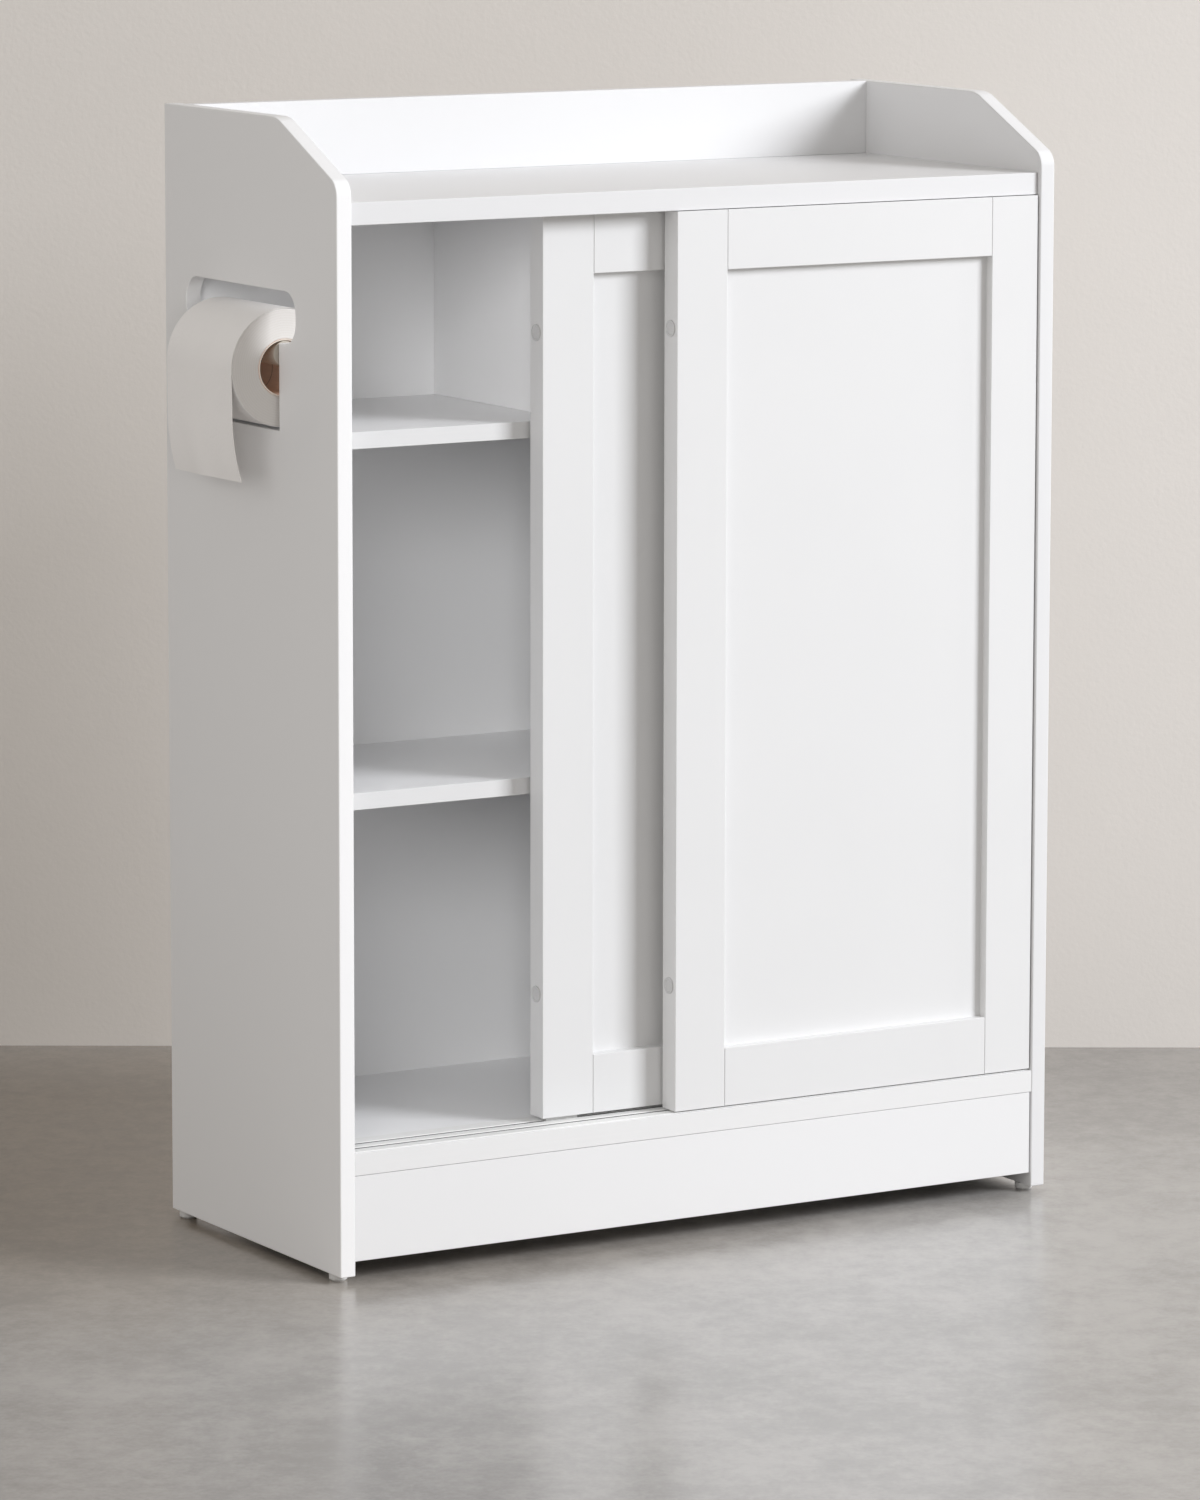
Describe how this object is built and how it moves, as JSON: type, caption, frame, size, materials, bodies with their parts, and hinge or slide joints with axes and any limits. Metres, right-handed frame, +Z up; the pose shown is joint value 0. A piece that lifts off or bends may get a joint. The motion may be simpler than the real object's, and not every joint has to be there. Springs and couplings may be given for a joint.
{
  "type": "toilet roll storage cabinet",
  "caption": "Tall narrow storage cabinet with framed sliding doors, inner shelves, a raised gallery round its top and a toilet roll holder set through its side panel.",
  "frame": {"origin": "centre of the bounding box, on the floor under the feet", "axes": "+Z up, +Y from the doors to the back, +X to the cabinet's right as seen from the doors"},
  "size_m": [0.637, 0.26, 0.82],
  "materials": {
    "white_laminate": "satin white laminate on particle board, with thin edging",
    "white_paint": "satin white foil or paint on fibreboard",
    "white_plastic": "moulded white plastic",
    "spindle_plastic": "light moulded plastic",
    "clear_bumper": "soft translucent bumper",
    "zinc": "zinc plated",
    "spring_steel": "bare spring steel",
    "beech": "fluted beech dowel",
    "tissue_paper": "soft white tissue",
    "cardboard": "brown wound cardboard"
  },
  "bodies": {
    "cabinet": {"left_side_panel": "white_laminate", "right_side_panel": "white_laminate", "top_board": "white_laminate", "bottom_board": "white_laminate", "upper_shelf": "white_laminate", "lower_shelf": "white_laminate", "divider_panel": "white_laminate", "back_panel": "white_laminate", "gallery_rail": "white_laminate", "kick_board": "white_laminate", "rear_plinth_rail": "white_laminate", "top_track": "white_plastic", "bottom_track": "white_plastic", "front_left_foot": "white_plastic", "front_right_foot": "white_plastic", "back_left_foot": "white_plastic", "back_right_foot": "white_plastic", "cam_locks": "zinc", "cam_bolts": "zinc", "wood_dowels": "beech", "shelf_pins": "zinc", "front_spindle_socket": "white_plastic", "rear_spindle_socket": "white_plastic", "spindle_tube": "spindle_plastic", "spindle_spring": "spring_steel", "hanging_sheet": "tissue_paper"},
    "front_door": {"front_door_left_stile": "white_paint", "front_door_right_stile": "white_paint", "front_door_top_rail": "white_paint", "front_door_bottom_rail": "white_paint", "front_door_panel": "white_paint", "front_door_bumpers": "clear_bumper", "front_door_glides": "white_plastic", "front_door_guide_pins": "white_plastic"},
    "rear_door": {"rear_door_left_stile": "white_paint", "rear_door_right_stile": "white_paint", "rear_door_top_rail": "white_paint", "rear_door_bottom_rail": "white_paint", "rear_door_panel": "white_paint", "rear_door_bumpers": "clear_bumper", "rear_door_glides": "white_plastic", "rear_door_guide_pins": "white_plastic"},
    "plunger": {"spindle_plunger": "spindle_plastic"},
    "roll": {"paper_roll": "tissue_paper", "cardboard_core": "cardboard"}
  },
  "joints": [
    {"name": "front_door_slide", "type": "slide", "parent": "cabinet", "child": "front_door", "axis": [1, 0, 0], "range_m": [-0.2642, 0]},
    {"name": "rear_door_slide", "type": "slide", "parent": "cabinet", "child": "rear_door", "axis": [1, 0, 0], "range_m": [-0.165, 0.0992]},
    {"name": "spindle_plunger_slide", "type": "slide", "parent": "cabinet", "child": "plunger", "axis": [0, 1, 0], "range_m": [-0.008, 0], "stiffness_N_per_m": 300, "springref_m": 0.01, "deforming": ["spindle_spring"]},
    {"name": "roll_spin", "type": "hinge", "parent": "cabinet", "child": "roll", "pos_m": [-0.2755, 0.0075, 0.643], "axis": [0, 1, 0], "continuous": true}
  ]
}
